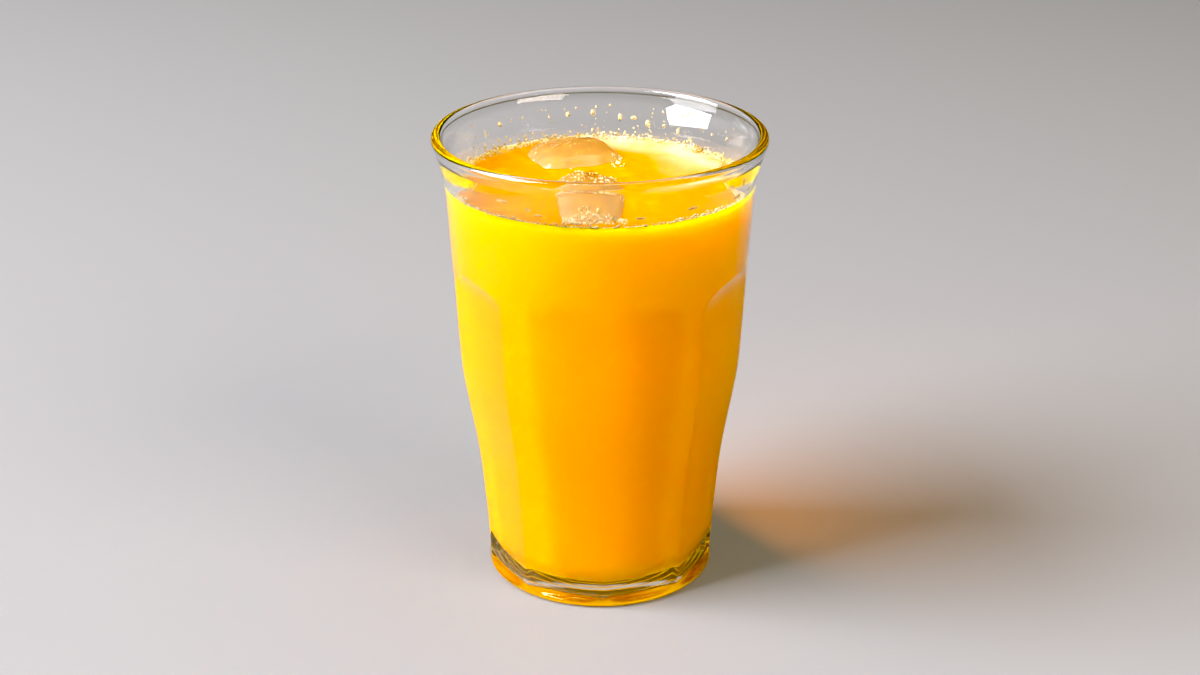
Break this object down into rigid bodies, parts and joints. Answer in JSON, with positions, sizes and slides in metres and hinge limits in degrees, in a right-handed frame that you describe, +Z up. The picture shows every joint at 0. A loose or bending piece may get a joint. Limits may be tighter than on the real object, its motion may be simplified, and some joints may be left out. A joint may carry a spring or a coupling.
{
  "type": "glass of orange juice",
  "caption": "Faceted glass tumbler with a flared round lip, filled with orange juice and ice cubes that float at the surface, for serving a cold drink.",
  "frame": {"origin": "centre of the foot on the table plane, on the tumbler's axis", "axes": "+Z up along the tumbler's axis; -Y towards the viewer of the picture; +X to the viewer's right"},
  "size_m": [0.0878, 0.088, 0.124],
  "materials": {
    "clear_glass": "clear moulded glass, fire-polished",
    "orange_juice": "cloudy orange juice with a wet surface",
    "ice": "melting ice, clear with a frosted edge"
  },
  "bodies": {
    "root": {"glass": "clear_glass", "juice": "orange_juice", "ice_back": "ice", "ice_front": "ice"}
  },
  "joints": []
}
